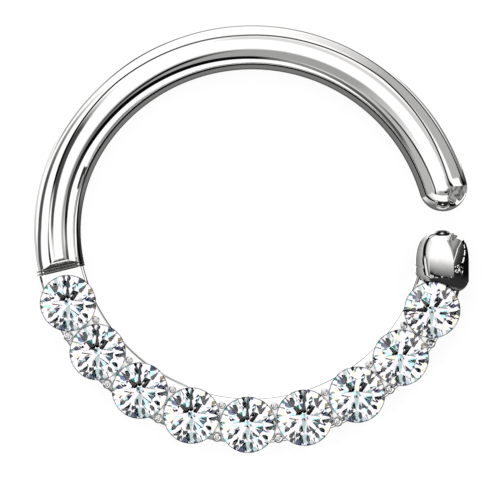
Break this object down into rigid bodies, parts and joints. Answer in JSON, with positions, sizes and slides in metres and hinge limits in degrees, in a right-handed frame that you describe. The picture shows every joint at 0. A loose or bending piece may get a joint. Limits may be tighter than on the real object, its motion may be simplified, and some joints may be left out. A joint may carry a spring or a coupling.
{
  "type": "septum ring",
  "caption": "Open bendable hoop of polished round bar whose lower front carries a curved row of clear round brilliants in shared bead prongs, ending in a barrel cap.",
  "frame": {"origin": "middle of the ring's outline seen from the front, on the plane that its back rests on", "axes": "+Z out of the ring's front, where the stones' tables face; +Y up as worn, from the stones to the plain bar; +X to the right seen from the front, towards the opening"},
  "size_m": [0.0108, 0.0108, 0.0013],
  "materials": {
    "polished_steel": "mirror polished surgical steel with faint polishing marks",
    "clear_stone": "cut and polished clear cubic zirconia"
  },
  "bodies": {
    "root": {"hoop_and_setting": "polished_steel", "stone_1": "clear_stone", "stone_2": "clear_stone", "stone_3": "clear_stone", "stone_4": "clear_stone", "stone_5": "clear_stone", "stone_6": "clear_stone", "stone_7": "clear_stone", "stone_8": "clear_stone", "stone_9": "clear_stone"}
  },
  "joints": []
}
